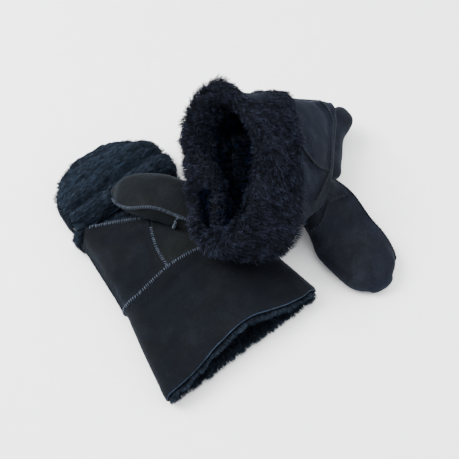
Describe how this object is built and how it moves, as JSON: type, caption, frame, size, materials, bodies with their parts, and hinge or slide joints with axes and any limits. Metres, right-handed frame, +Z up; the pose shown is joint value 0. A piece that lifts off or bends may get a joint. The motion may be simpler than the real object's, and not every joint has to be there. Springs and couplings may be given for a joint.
{
  "type": "convertible mittens",
  "caption": "Pair of suede shearling mittens with flip-top caps, one cap opened out flat and the other mitten lying on top with its cuff turned back.",
  "frame": {"origin": "on the table under the middle of the pair as it lies", "axes": "+Z up; the right mitten lies palm up with its fingers towards +Y and its thumb towards +X; the left mitten lies across its thumb side, fingers towards +X"},
  "size_m": [0.3114, 0.2919, 0.1264],
  "materials": {
    "suede": "napped",
    "wool": "deep pile",
    "pale_thread": "matte",
    "dark_thread": "matte"
  },
  "bodies": {
    "right_hand": {"right_cuff_panel": "suede", "right_thumb_gusset": "suede", "right_thumb_front": "suede", "right_thumb_back": "suede", "right_cuff_lining": "wool", "right_hand_lining": "wool", "right_thumb_lining": "wool", "right_thumb_seam": "pale_thread", "right_gusset_seam": "pale_thread", "right_side_seam": "pale_thread", "right_gusset_side_seam": "pale_thread", "right_palm_panel": "suede", "right_back_panel": "suede", "right_cuff_seam": "pale_thread", "right_palm_edge_seam": "pale_thread", "right_cuff_side_seam": "pale_thread", "right_knuckle_seam": "pale_thread"},
    "right_cap": {"right_cap_back_panel": "suede", "right_cap_front_panel": "suede", "right_cap_lining": "wool"},
    "left_hand": {"left_cuff_panel": "suede", "left_thumb_gusset": "suede", "left_thumb_front": "suede", "left_thumb_back": "suede", "left_cuff_lining": "wool", "left_hand_lining": "wool", "left_thumb_lining": "wool", "left_thumb_seam": "dark_thread", "left_gusset_seam": "dark_thread", "left_side_seam": "dark_thread", "left_gusset_side_seam": "dark_thread", "left_palm_panel": "suede", "left_back_panel": "suede"},
    "left_cap": {"left_cap_back_panel": "suede", "left_cap_front_panel": "suede", "left_cap_lining": "wool", "left_cap_seam": "dark_thread", "left_cap_thumb_side_seam": "dark_thread"}
  },
  "joints": [
    {"name": "right_cap_flip", "type": "hinge", "parent": "right_hand", "child": "right_cap", "pos_m": [-0.074, 0.0655, 0], "axis": [1, 0, 0], "range_deg": [-150, 45]},
    {"name": "left_mitten_lift", "type": "slide", "parent": "right_hand", "child": "left_hand", "axis": [0, 0, 1], "range_m": [0, 0.16]},
    {"name": "left_cap_flip", "type": "hinge", "parent": "left_hand", "child": "left_cap", "pos_m": [0.099, -0.012, 0.0525], "axis": [-0.6861, -0.7159, -0.1293], "range_deg": [0, 105]}
  ]
}
